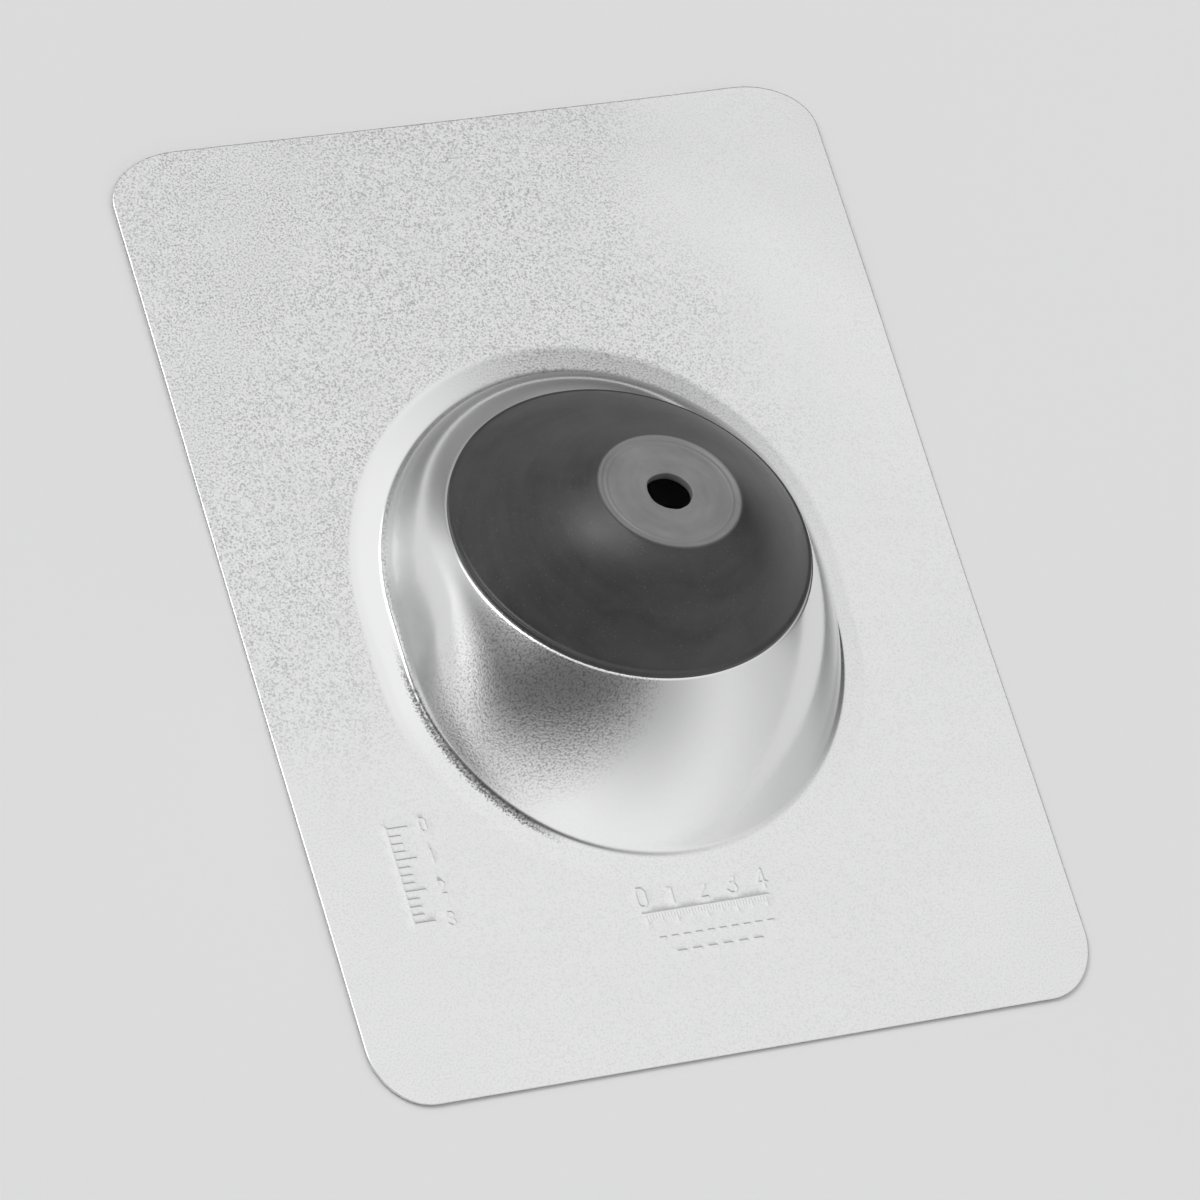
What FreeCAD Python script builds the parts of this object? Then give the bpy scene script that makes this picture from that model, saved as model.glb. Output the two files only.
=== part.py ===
import FreeCAD, Part
import math
import os

# Pipe flashing boot: a sheet-metal flashing with a drawn hump, and an elastomer
# collar whose groove grips the turned-in flange at the hump's mouth.
# Millimetres. The flashing's underside is z = 0, its middle is x = y = 0, +Y points
# up the roof slope, +X across it. The hump is tallest on its -Y (down-slope) side.

# ---------------------------------------------------------------- flashing sheet
SHEET_W = 216.0            # across the slope (8.5 in)
SHEET_L = 284.0            # along the slope (11.2 in)
SHEET_T = 0.8              # aluminium sheet thickness, the same all over
CORNER_HIGH = (22.0, 15.0) # up-slope corners: quarter ellipse, across and along the slope
CORNER_LOW = (16.0, 18.0)  # down-slope corners

# ---------------------------------------------------------------- mouth of the hump
PITCH_DEG = 15.26          # the mouth plane leans this far towards +Y
MOUTH_Y = 1.35             # where the middle of the collar's outer edge is
MOUTH_Z = 25.93
SEAT_DZ = -0.7             # top face of the turned-in flange, along the mouth's normal
SHOULDER_R = 51.4          # theoretical corner between flank and flange
FLANGE_IN_R = 47.6         # free inner edge of the flange
BEND_LEN = 0.55            # tangent length of the bend between flank and flange

# ---------------------------------------------------------------- foot of the hump
FOOT_R = 64.2              # plan radius of both round ends
FOOT_Y_LOW = -19.5         # centre of the down-slope round end
FOOT_Y_HIGH = -3.1         # centre of the up-slope round end
CREASE_LEN = 1.5           # tangent length of the concave foot crease
BAND_W = 8.5               # width of the shallow cone, pressed smooth, that leads up to the crease
BAND_FOLD = 0.9            # tangent length of the fold between the flat sheet and that cone
BAND_H_LOW = 0.35          # its rise on the down-slope side
BAND_H_HIGH = 0.85         # its rise on the up-slope side
FLANK_FOOT_DEG = 66.0      # slope of the flank where it leaves the crease
FLANK_FOOT_VAR = 10.0      # added on the up-slope side, taken off on the other
FLANK_TOP_DEG = 28.0       # slope of the flank at the shoulder
FLANK_TOP_VAR = -8.0

# ---------------------------------------------------------------- elastomer collar
COLLAR_R = 50.9            # outer edge
LIP_H = 1.5                # height of the outer lip above the flange
LIP_ROUND = 0.6
LEDGE = 0.3                # narrow flat between the lip's round and the dome
RING_R = 19.9              # raised ring round the pipe disc
RING_W = 1.6
RING_H = 0.5
DOME_H = 28.0              # pipe disc above the outer edge's middle plane
DOME_SHIFT = -10.1         # pipe disc is set this far down the slope of the mouth
DOME_EDGE_DEG = 54.0       # slope of the dome at the lip
DOME_TOP_DEG = 27.0        # slope of the dome at the ring
WALL_T = 2.6               # dome wall
DISC_T = 2.2               # pipe disc
DISC_CONE = 0.5            # the disc rises this much from the ring to the hole
HOLE_R = 6.26              # pilot hole for the smallest pipe
GROOVE_R = 47.5            # bottom of the groove that takes the flange
INNER_R = 44.8
UNDER_LIP_R = 50.0
UNDER_LIP_H = 1.8

COLUMNS = 96               # sections round the hump

V = FreeCAD.Vector
PITCH = math.radians(PITCH_DEG)
NORMAL = V(0, math.sin(PITCH), math.cos(PITCH))      # out of the mouth
ACROSS = V(1, 0, 0)
UPSLOPE = V(0, math.cos(PITCH), -math.sin(PITCH))    # in the mouth's plane
MOUTH = V(0, MOUTH_Y, MOUTH_Z)


# ---------------------------------------------------------------- spline surfaces
def solve(a, rhs):
    """Gaussian elimination with several right-hand sides."""
    n = len(a)
    a = [row[:] for row in a]
    rhs = [list(r) for r in rhs]
    for c in range(n):
        p = max(range(c, n), key=lambda r: abs(a[r][c]))
        a[c], a[p] = a[p], a[c]
        rhs[c], rhs[p] = rhs[p], rhs[c]
        inv = 1.0 / a[c][c]
        for r in range(c + 1, n):
            k = a[r][c] * inv
            if k == 0.0:
                continue
            ar, ac = a[r], a[c]
            for j in range(c, n):
                ar[j] -= k * ac[j]
            br, bc = rhs[r], rhs[c]
            for j in range(len(br)):
                br[j] -= k * bc[j]
    for c in range(n - 1, -1, -1):
        inv = 1.0 / a[c][c]
        rc = [v * inv for v in rhs[c]]
        rhs[c] = rc
        for r in range(c):
            k = a[r][c]
            if k == 0.0:
                continue
            br = rhs[r]
            for j in range(len(br)):
                br[j] -= k * rc[j]
    return rhs


def basis(knots, degree, i, t):
    """Cox-de Boor."""
    if degree == 0:
        last = knots[-1]
        if knots[i] <= t < knots[i + 1]:
            return 1.0
        if t == last and knots[i] < knots[i + 1] == last:
            return 1.0
        return 0.0
    left = right = 0.0
    d = knots[i + degree] - knots[i]
    if d > 0:
        left = (t - knots[i]) / d * basis(knots, degree - 1, i, t)
    d = knots[i + degree + 1] - knots[i + 1]
    if d > 0:
        right = (knots[i + degree + 1] - t) / d * basis(knots, degree - 1, i + 1, t)
    return left + right


def wrap(rows):
    """Poles of the closed uniform cubic that passes through each row's points.
    Rows are cyclic, so one small symmetric system serves them all."""
    n = len(rows[0])
    a = [[0.0] * n for _ in range(n)]
    for i in range(n):
        a[i][(i - 1) % n] += 1 / 6.0
        a[i][i] += 4 / 6.0
        a[i][(i + 1) % n] += 1 / 6.0
    rhs = [[c for row in rows for c in (row[i].x, row[i].y, row[i].z)] for i in range(n)]
    out = solve(a, rhs)
    return [[V(*out[i][3 * j:3 * j + 3]) for i in range(n)] for j in range(len(rows))]


def skin(rows):
    """A face through closed rows of points, from the first row to the last.
    Two rows give a ruled face."""
    n, m = len(rows[0]), len(rows)
    rows = wrap(rows)
    if m == 2:
        degree, knots, mults = 1, [0.0, 1.0], [2, 2]
        net = rows
    else:
        degree = 3
        step = [0.0]
        for j in range(1, m):
            d = sum((rows[j][i] - rows[j - 1][i]).Length for i in range(0, n, 4))
            step.append(step[-1] + d ** 0.8)
        t = [s / step[-1] for s in step]
        full = [0.0] * 4 + [sum(t[j:j + 3]) / 3.0 for j in range(1, m - 3)] + [1.0] * 4
        a = [[basis(full, 3, i, t[j]) for i in range(m)] for j in range(m)]
        rhs = [[c for p in rows[j] for c in (p.x, p.y, p.z)] for j in range(m)]
        out = solve(a, rhs)
        net = [[V(*out[j][3 * i:3 * i + 3]) for i in range(n)] for j in range(m)]
        knots = [0.0] + full[4:-4] + [1.0]
        mults = [4] + [1] * (len(knots) - 2) + [4]
    poles = [[net[j][i] for j in range(m)] for i in range(n)]
    surface = Part.BSplineSurface()
    surface.buildFromPolesMultsKnots(
        poles, [1] * (n + 1), mults, [float(k) for k in range(n + 1)], knots, True, False, 3, degree
    )
    return surface.toShape()


def rim_edge(face, point):
    """The closed edge of a skin nearest to a point."""
    near = Part.Vertex(point)
    closed = [e for e in face.Edges if e.isClosed() and e.Length > 1.0]
    return min(closed, key=lambda e: e.distToShape(near)[0])


def flat(outer_edges, inner_edges=None):
    wires = [Part.Wire(outer_edges)]
    if inner_edges:
        wires.append(Part.Wire(inner_edges))
    return Part.makeFace(wires, "Part::FaceMakerBullseye")


def closed_solid(faces):
    shape = Part.makeCompound(faces)
    shape.sewShape(0.005)
    shells = shape.Shells
    assert len(shells) == 1, len(shells)
    solid = Part.makeSolid(shells[0])
    if solid.Volume < 0:
        solid.reverse()
    if not solid.isValid():
        solid.fix(1e-4, 1e-4, 1e-3)
    return solid


# ---------------------------------------------------------------- section points
def mouth_point(phi, r, dz=0.0, shift=0.0):
    p = V(MOUTH)
    p += NORMAL * dz
    p += UPSLOPE * (shift + r * math.sin(phi))
    p += ACROSS * (r * math.cos(phi))
    return p


def foot_point(phi):
    """The foot outline, a circle stretched along Y, in the direction phi from its middle."""
    mid, half = (FOOT_Y_LOW + FOOT_Y_HIGH) / 2, (FOOT_Y_HIGH - FOOT_Y_LOW) / 2
    c, s = math.cos(phi), math.sin(phi)
    t = FOOT_R / max(abs(c), 1e-9)
    if abs(t * s) > half:
        b = abs(s) * half
        t = b + math.sqrt(b * b - half * half + FOOT_R * FOOT_R)
    return V(t * c, mid + t * s, SHEET_T)


def quad(a, b, c, t):
    return a * ((1 - t) ** 2) + b * (2 * t * (1 - t)) + c * (t * t)


def hump_section(phi):
    """Outer points of the hump, from the flat sheet to the flange, at one angle."""
    foot = foot_point(phi)
    rise = BAND_H_LOW + (BAND_H_HIGH - BAND_H_LOW) * (1 + math.sin(phi)) / 2
    corner = foot + V(0, 0, rise)
    shoulder = mouth_point(phi, SHOULDER_R, SEAT_DZ)
    run = V(shoulder.x - foot.x, shoulder.y - foot.y, 0)
    d, h = run.Length, shoulder.z - corner.z
    u = run * (1 / d)
    b = math.radians(FLANK_FOOT_DEG + FLANK_FOOT_VAR * math.sin(phi))
    g = math.radians(FLANK_TOP_DEG + FLANK_TOP_VAR * math.sin(phi))
    det = math.cos(b) * math.sin(g) - math.cos(g) * math.sin(b)
    up = (d * math.sin(g) - h * math.cos(g)) / det
    over = (h * math.cos(b) - d * math.sin(b)) / det
    assert up > CREASE_LEN * 1.05 and over > BEND_LEN * 1.05, (phi, up, over)
    flank_dir = u * math.cos(b) + V(0, 0, math.sin(b))
    top_dir = u * math.cos(g) + V(0, 0, math.sin(g))
    knee = corner + flank_dir * up
    band_edge = foot - u * BAND_W
    start = band_edge - u * BAND_FOLD
    band_dir = (u + V(0, 0, rise / BAND_W)).normalize()
    fold_end = band_edge + band_dir * BAND_FOLD
    crease_a = corner - band_dir * CREASE_LEN
    crease_b = corner + flank_dir * CREASE_LEN
    bend_a = shoulder - top_dir * BEND_LEN
    bend_b = mouth_point(phi, SHOULDER_R - BEND_LEN, SEAT_DZ)
    points = [quad(start, band_edge, fold_end, t) for t in (0.0, 0.25, 0.5, 0.75, 1.0)]
    points += [fold_end * (1 - t) + crease_a * t for t in (0.15, 0.38, 0.62, 0.85, 1.0)]
    points += [quad(crease_a, corner, crease_b, t) for t in (0.2, 0.4, 0.6, 0.8, 1.0)]
    points += [quad(crease_b, knee, bend_a, t) for t in (0.07, 0.18, 0.33, 0.5, 0.67, 0.82, 0.93, 1.0)]
    points += [quad(bend_a, shoulder, bend_b, t) for t in (0.2, 0.4, 0.6, 0.8, 1.0)]
    return points


def hump_rows(depth):
    """Rows of hump points, moved down by the sheet's thickness along the true normal."""
    step = 2 * math.pi / COLUMNS
    small = step / 50
    columns = []
    for i in range(COLUMNS):
        phi = i * step + 1e-7
        here = hump_section(phi)
        if depth:
            side_a, side_b = hump_section(phi - small), hump_section(phi + small)
            moved = []
            for j, p in enumerate(here):
                if j == 0:
                    n = V(0, 0, 1)
                elif j == len(here) - 1:
                    n = NORMAL
                else:
                    du = side_b[j] - side_a[j]
                    dv = here[j + 1] - here[j - 1]
                    if j == 1:
                        dv = here[2] - here[0]
                    n = du.cross(dv)
                    n.normalize()
                    if n.z < 0:
                        n = n * -1
                moved.append(p - n * depth)
            here = moved
        columns.append(here)
    return [[columns[i][j] for i in range(COLUMNS)] for j in range(len(columns[0]))]


def circle_row(r, dz, shift=0.0):
    step = 2 * math.pi / COLUMNS
    return [mouth_point(i * step + 1e-7, r, dz, shift) for i in range(COLUMNS)]


# ---------------------------------------------------------------- flashing_base
def flashing_base():
    top_rows, under_rows = hump_rows(0.0), hump_rows(SHEET_T)
    hump_top, hump_under = skin(top_rows), skin(under_rows)
    w, l = SHEET_W / 2, SHEET_L / 2

    def corner(sx, sy, z):
        """Quarter ellipse that rounds the corner (sx * w, sy * l)."""
        a, b = CORNER_HIGH if sy > 0 else CORNER_LOW
        arc = Part.Arc(V(1, 0, 0), V(math.sqrt(0.5), math.sqrt(0.5), 0), V(0, 1, 0)).toShape()
        m = FreeCAD.Matrix()
        m.A11, m.A22 = sx * a, sy * b
        m.A14, m.A24, m.A34 = sx * (w - a), sy * (l - b), z
        return arc.transformGeometry(m)

    def outline(z):
        (a, b), (c, d) = CORNER_HIGH, CORNER_LOW
        return [
            Part.makeLine(V(-w + c, -l, z), V(w - c, -l, z)),
            corner(1, -1, z),
            Part.makeLine(V(w, -l + d, z), V(w, l - b, z)),
            corner(1, 1, z),
            Part.makeLine(V(w - a, l, z), V(-w + a, l, z)),
            corner(-1, 1, z),
            Part.makeLine(V(-w, l - b, z), V(-w, -l + d, z)),
            corner(-1, -1, z),
        ]

    lower = outline(0)
    sides = [e.extrude(V(0, 0, SHEET_T)) for e in lower]
    sheet_top = flat(outline(SHEET_T), [rim_edge(hump_top, top_rows[0][0])])
    sheet_under = flat(lower, [rim_edge(hump_under, under_rows[0][0])])
    lip_top = circle_row(FLANGE_IN_R, SEAT_DZ)
    lip_under = circle_row(FLANGE_IN_R, SEAT_DZ - SHEET_T)
    lip_edge = skin([lip_top, lip_under])
    flange_top = flat([rim_edge(hump_top, top_rows[-1][0])], [rim_edge(lip_edge, lip_top[0])])
    flange_under = flat([rim_edge(hump_under, under_rows[-1][0])], [rim_edge(lip_edge, lip_under[0])])
    return closed_solid(
        [hump_top, hump_under, sheet_top, sheet_under, lip_edge, flange_top, flange_under] + sides
    )


# ---------------------------------------------------------------- rubber_collar
def dome_profile(r0, z0, r1, z1, deg0, deg1, count):
    """(radius, height, shift) along a convex dome; the circles shift in step with height."""
    b, g = math.radians(deg0), math.radians(deg1)
    d, h = r0 - r1, z1 - z0
    det = math.cos(b) * math.sin(g) - math.cos(g) * math.sin(b)
    up = (d * math.sin(g) - h * math.cos(g)) / det
    knee = (r0 - up * math.cos(b), z0 + up * math.sin(b))
    out = []
    for i in range(count):
        t = i / (count - 1.0)
        r = r0 * (1 - t) ** 2 + knee[0] * 2 * t * (1 - t) + r1 * t * t
        z = z0 * (1 - t) ** 2 + knee[1] * 2 * t * (1 - t) + z1 * t * t
        out.append((r, z))
    return out


def shift_at(z, z0, z1):
    """No shift at the lip, all of it at the disc, eased at both ends."""
    t = min(1.0, max(0.0, (z - z0) / (z1 - z0)))
    return DOME_SHIFT * (0.65 * t + 0.35 * t * t * (3 - 2 * t))


def rubber_collar():
    seat = SEAT_DZ
    lip_top = seat + LIP_H
    k = LIP_ROUND
    lip = [(COLLAR_R, seat), (COLLAR_R, seat + (LIP_H - k) * 0.33), (COLLAR_R, seat + (LIP_H - k) * 0.67)]
    turn = math.radians(90.0)
    lip += [
        (COLLAR_R - k * (1 - math.cos(turn * i / 6)), lip_top - k + k * math.sin(turn * i / 6))
        for i in range(7)
    ]
    lip = [(r, z, 0.0) for r, z in lip]
    ledge = (COLLAR_R - k - LEDGE, lip_top, 0.0)
    dome = dome_profile(ledge[0], lip_top, RING_R, DOME_H, DOME_EDGE_DEG, DOME_TOP_DEG, 12)
    dome = [(r, z, shift_at(z, lip_top, DOME_H)) for r, z in dome]
    s = DOME_SHIFT
    ring = [
        (RING_R, DOME_H, s),
        (RING_R - 0.15, DOME_H + RING_H, s),
        (RING_R - RING_W + 0.15, DOME_H + RING_H, s),
        (RING_R - RING_W, DOME_H + 0.05, s),
        (HOLE_R * 0.5, DOME_H + DISC_CONE, s),
    ]
    under_disc = DOME_H - DISC_T
    inside_r = RING_R - 1.2
    under_z = seat - SHEET_T - UNDER_LIP_H
    inner = dome_profile(INNER_R, lip_top - 0.4, inside_r, under_disc - 0.3, 52.0, 27.0, 10)
    inner = [(r, z, shift_at(z, lip_top, DOME_H)) for r, z in inner]
    faces = [
        skin([circle_row(*c) for c in lip]),
        skin([circle_row(*lip[-1]), circle_row(*ledge)]),
        skin([circle_row(*c) for c in dome]),
    ]
    for a, b in zip(ring, ring[1:]):
        faces.append(skin([circle_row(*a), circle_row(*b)]))
    faces.append(skin([circle_row(INNER_R, under_z), circle_row(*inner[0])]))
    faces.append(skin([circle_row(*c) for c in inner]))
    faces.append(skin([circle_row(*inner[-1]), circle_row(HOLE_R * 0.5, under_disc, s)]))
    groove = [
        (INNER_R, under_z, 0.0),
        (UNDER_LIP_R - 0.5, under_z, 0.0),
        (UNDER_LIP_R, under_z + 0.5, 0.0),
        (UNDER_LIP_R, seat - SHEET_T, 0.0),
        (GROOVE_R, seat - SHEET_T, 0.0),
        (GROOVE_R, seat, 0.0),
        (COLLAR_R, seat, 0.0),
    ]
    for a, b in zip(groove, groove[1:]):
        faces.append(skin([circle_row(*a), circle_row(*b)]))
    # a plug wall inside the hole closes the shell; the hole is then cut true
    faces.append(skin([circle_row(HOLE_R * 0.5, DOME_H + DISC_CONE, s), circle_row(HOLE_R * 0.5, under_disc, s)]))
    body = closed_solid(faces)
    axis_point = MOUTH + UPSLOPE * DOME_SHIFT + NORMAL * (DOME_H - 15.0)
    return body.cut(Part.makeCylinder(HOLE_R, 30.0, axis_point, NORMAL))


os.makedirs("parts", exist_ok=True)
for name, make in (("flashing_base", flashing_base), ("rubber_collar", rubber_collar)):
    shape = make()
    if shape.ShapeType != "Solid" and len(shape.Solids) == 1:
        shape = shape.Solids[0]
    assert shape.isValid() and len(shape.Solids) == 1, name
    shape.exportStep("parts/%s.step" % name)
    box = shape.BoundBox
    print(name, "volume mm3 %.0f" % shape.Volume, "box %.2f %.2f %.2f to %.2f %.2f %.2f" % (
        box.XMin, box.YMin, box.ZMin, box.XMax, box.YMax, box.ZMax), "faces", len(shape.Faces))
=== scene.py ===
import math

import bpy
import numpy as np
from mathutils import Matrix, Vector
from mathutils.geometry import delaunay_2d_cdt


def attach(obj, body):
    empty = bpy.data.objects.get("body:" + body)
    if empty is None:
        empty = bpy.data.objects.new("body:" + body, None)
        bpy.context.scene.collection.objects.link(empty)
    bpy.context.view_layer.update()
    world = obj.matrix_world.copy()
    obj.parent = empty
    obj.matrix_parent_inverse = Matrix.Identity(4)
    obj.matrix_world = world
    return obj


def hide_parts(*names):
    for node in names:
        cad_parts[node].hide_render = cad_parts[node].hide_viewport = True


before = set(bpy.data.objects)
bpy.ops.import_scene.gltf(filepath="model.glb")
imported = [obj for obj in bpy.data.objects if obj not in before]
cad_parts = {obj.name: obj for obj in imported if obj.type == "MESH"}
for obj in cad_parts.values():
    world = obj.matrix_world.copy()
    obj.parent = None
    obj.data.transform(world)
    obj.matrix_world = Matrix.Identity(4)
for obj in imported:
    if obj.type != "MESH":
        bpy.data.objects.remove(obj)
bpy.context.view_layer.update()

MM = 0.001
rng = np.random.default_rng(20117)

# ------------------------------------------------------------------ sizes, as in the frame (mm)
SHEET_W, SHEET_L, SHEET_T = 216.0, 284.0, 0.8
CORNER_HIGH, CORNER_LOW = (22.0, 15.0), (16.0, 18.0)
PITCH = math.radians(15.26)
MOUTH = np.array([0.0, 1.35, 25.93])
NORMAL = np.array([0.0, math.sin(PITCH), math.cos(PITCH)])
ACROSS = np.array([1.0, 0.0, 0.0])
UPSLOPE = np.array([0.0, math.cos(PITCH), -math.sin(PITCH)])
SEAT_DZ, SHOULDER_R, FLANGE_IN_R, BEND_LEN = -0.7, 51.4, 47.6, 0.55
FOOT_R, FOOT_Y_LOW, FOOT_Y_HIGH = 64.2, -19.5, -3.1
CREASE_LEN, BAND_W, BAND_FOLD, BAND_H_LOW, BAND_H_HIGH = 1.5, 8.5, 0.9, 0.35, 0.85
FLANK_FOOT_DEG, FLANK_FOOT_VAR, FLANK_TOP_DEG, FLANK_TOP_VAR = 66.0, 10.0, 28.0, -8.0
COLLAR_R, LIP_H, LIP_ROUND, LEDGE = 50.9, 1.5, 0.6, 0.3
RING_R, RING_W, RING_H = 19.9, 1.6, 0.5
DOME_H, DOME_SHIFT, DOME_EDGE_DEG, DOME_TOP_DEG = 28.0, -10.1, 54.0, 27.0
DISC_T, DISC_CONE, HOLE_R = 2.2, 0.5, 6.26
GROOVE_R, INNER_R, UNDER_LIP_R, UNDER_LIP_H = 47.5, 44.8, 50.0, 1.8


# ------------------------------------------------------------------ camera
def camera():
    cam = bpy.data.cameras.new("camera")
    cam.sensor_fit = "HORIZONTAL"
    cam.sensor_width = 36.0
    cam.lens = 7847.1 / 1200.0 * 36.0
    cam.clip_start, cam.clip_end = 0.05, 50.0
    cam.dof.use_dof = False
    obj = bpy.data.objects.new("camera", cam)
    bpy.context.scene.collection.objects.link(obj)
    right = Vector((0.90044, -0.28401, 0.32947)).normalized()
    back = Vector((-0.41529, -0.33597, 0.84537)).normalized()
    up = back.cross(right).normalized()
    right = up.cross(back).normalized()
    m = Matrix((right, up, back)).transposed().to_4x4()
    m.translation = Vector((-0.89318, -0.72775, 1.81358))
    obj.matrix_world = m
    bpy.context.scene.camera = obj
    return obj


camera()


# ------------------------------------------------------------------ shared helpers
def quad(a, b, c, t):
    return a * (1 - t) ** 2 + b * 2 * t * (1 - t) + c * t * t


def smooth(a, b, x):
    t = np.clip((x - a) / (b - a), 0.0, 1.0)
    return t * t * (3 - 2 * t)


def value_noise(x, y, cell, seed):
    """Smooth random field over the plane, about -1 to 1."""
    r = np.random.default_rng(seed)
    table = r.uniform(-1, 1, (256, 256))
    u, v = x / cell + 64.3, y / cell + 64.7
    i, j = np.floor(u).astype(int), np.floor(v).astype(int)
    fu, fv = u - i, v - j
    fu, fv = fu * fu * (3 - 2 * fu), fv * fv * (3 - 2 * fv)
    g = lambda a, b: table[a % 256, b % 256]
    return (g(i, j) * (1 - fu) + g(i + 1, j) * fu) * (1 - fv) + (g(i, j + 1) * (1 - fu) + g(i + 1, j + 1) * fu) * fv


def mouth_points(phi, r, dz=0.0, shift=0.0):
    phi = np.asarray(phi)
    return (
        MOUTH
        + dz * NORMAL
        + shift * UPSLOPE
        + (r * np.cos(phi))[..., None] * ACROSS
        + (r * np.sin(phi))[..., None] * UPSLOPE
    )


def foot_points(phi):
    mid, half = (FOOT_Y_LOW + FOOT_Y_HIGH) / 2, (FOOT_Y_HIGH - FOOT_Y_LOW) / 2
    c, s = np.cos(phi), np.sin(phi)
    t = FOOT_R / np.maximum(np.abs(c), 1e-9)
    b = np.abs(s) * half
    arc = b + np.sqrt(np.maximum(b * b - half * half + FOOT_R**2, 0))
    t = np.where(np.abs(t * s) > half, arc, t)
    return np.stack([t * c, mid + t * s, np.full_like(t, SHEET_T)], -1)


def warp(x, y):
    """How far the thin sheet lifts off the flat, in mm. None of it near the hump."""
    r = np.hypot(x, (y + 11.0) * 0.85)
    away = smooth(66.0, 130.0, r)
    lift = 0.75 * smooth(60, 150, x * 0.6 + y) * smooth(40, 108, x)
    lift = lift + 0.35 * smooth(60, 150, -x * 0.6 + y) * smooth(40, 108, -x)
    lift = lift + 0.30 * smooth(70, 150, -y - x * 0.5) * smooth(40, 108, -x)
    lift = lift + 0.22 * smooth(70, 150, -y + x * 0.5) * smooth(40, 108, x)
    lift = lift + 0.16 * (1 + value_noise(x, y, 46.0, 5)) + 0.05 * (1 + value_noise(x, y, 19.0, 6))
    return away * lift


def new_mesh(name, verts, faces, smooth_faces=True):
    me = bpy.data.meshes.new(name)
    me.from_pydata([tuple(v) for v in (np.asarray(verts) * MM)], [], [tuple(int(i) for i in f) for f in faces])
    me.validate()
    me.update()
    if smooth_faces:
        me.polygons.foreach_set("use_smooth", [True] * len(me.polygons))
    ob = bpy.data.objects.new(name, me)
    bpy.context.scene.collection.objects.link(ob)
    return ob


def strip(a, b, n, flip=False):
    """Quads between two closed loops of n vertices that start at index a and b."""
    out = []
    for i in range(n):
        j = (i + 1) % n
        q = (a + i, a + j, b + j, b + i)
        out.append(q[::-1] if flip else q)
    return out


# ------------------------------------------------------------------ flashing_base: hump
COLS = 420
PHI = np.arange(COLS) * 2 * math.pi / COLS


def hump_grid(phi):
    """(rows, columns, 3) of the hump's upper surface, from the flat sheet to the flange."""
    foot = foot_points(phi)
    rise = BAND_H_LOW + (BAND_H_HIGH - BAND_H_LOW) * (1 + np.sin(phi)) / 2
    corner = foot + rise[:, None] * np.array([0, 0, 1.0])
    shoulder = mouth_points(phi, SHOULDER_R, SEAT_DZ)
    run = shoulder - foot
    run[:, 2] = 0
    d = np.linalg.norm(run, axis=1)
    h = shoulder[:, 2] - corner[:, 2]
    u = run / d[:, None]
    b = np.radians(FLANK_FOOT_DEG + FLANK_FOOT_VAR * np.sin(phi))
    g = np.radians(FLANK_TOP_DEG + FLANK_TOP_VAR * np.sin(phi))
    det = np.cos(b) * np.sin(g) - np.cos(g) * np.sin(b)
    up = (d * np.sin(g) - h * np.cos(g)) / det
    z = np.array([0, 0, 1.0])
    flank_dir = u * np.cos(b)[:, None] + z * np.sin(b)[:, None]
    top_dir = u * np.cos(g)[:, None] + z * np.sin(g)[:, None]
    knee = corner + flank_dir * up[:, None]
    band_edge = foot - u * BAND_W
    start = band_edge - u * BAND_FOLD
    band_dir = u + z * (rise / BAND_W)[:, None]
    band_dir /= np.linalg.norm(band_dir, axis=1)[:, None]
    fold_end = band_edge + band_dir * BAND_FOLD
    crease_a = corner - band_dir * CREASE_LEN
    crease_b = corner + flank_dir * CREASE_LEN
    bend_a = shoulder - top_dir * BEND_LEN
    bend_b = mouth_points(phi, SHOULDER_R - BEND_LEN, SEAT_DZ)
    rows = [quad(start, band_edge, fold_end, t) for t in np.linspace(0, 1, 7)]
    rows += [fold_end * (1 - t) + crease_a * t for t in np.linspace(0, 1, 8)[1:]]
    rows += [quad(crease_a, corner, crease_b, t) for t in np.linspace(0, 1, 10)[1:]]
    rows += [quad(crease_b, knee, bend_a, t) for t in np.linspace(0, 1, 34)[1:]]
    rows += [quad(bend_a, shoulder, bend_b, t) for t in np.linspace(0, 1, 9)[1:]]
    rows += [mouth_points(phi, r, SEAT_DZ) for r in (49.4, 48.0)]
    return np.array(rows)


def grid_normals(g):
    du = np.roll(g, -1, 1) - np.roll(g, 1, 1)
    dv = np.gradient(g, axis=0)
    n = np.cross(du, dv)
    n /= np.linalg.norm(n, axis=2, keepdims=True)
    n[n[..., 2] < 0] *= -1
    return n


# ------------------------------------------------------------------ generic stamped marks
# Plain numerals and ticks, like a rule: polylines on a unit cell 0..1 by 0..1.6.
DIGITS = {
    "0": [[(0.1, 0.3), (0.1, 1.3), (0.3, 1.6), (0.7, 1.6), (0.9, 1.3), (0.9, 0.3), (0.7, 0), (0.3, 0), (0.1, 0.3)]],
    "1": [[(0.25, 1.25), (0.55, 1.6), (0.55, 0)]],
    "2": [[(0.1, 1.3), (0.3, 1.6), (0.7, 1.6), (0.9, 1.3), (0.85, 0.95), (0.1, 0), (0.9, 0)]],
    "3": [[(0.1, 1.35), (0.3, 1.6), (0.7, 1.6), (0.88, 1.35), (0.75, 0.95), (0.45, 0.85), (0.8, 0.72), (0.92, 0.35), (0.7, 0), (0.3, 0), (0.08, 0.25)]],
    "4": [[(0.7, 0), (0.7, 1.6), (0.08, 0.5), (0.95, 0.5)]],
    "5": [[(0.85, 1.6), (0.2, 1.6), (0.14, 0.9), (0.6, 1.0), (0.9, 0.7), (0.88, 0.3), (0.6, 0), (0.1, 0.12)]],
    "6": [[(0.8, 1.6), (0.3, 1.2), (0.1, 0.6), (0.2, 0.1), (0.6, 0), (0.9, 0.25), (0.85, 0.65), (0.55, 0.85), (0.15, 0.6)]],
}
STROKES = []


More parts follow.
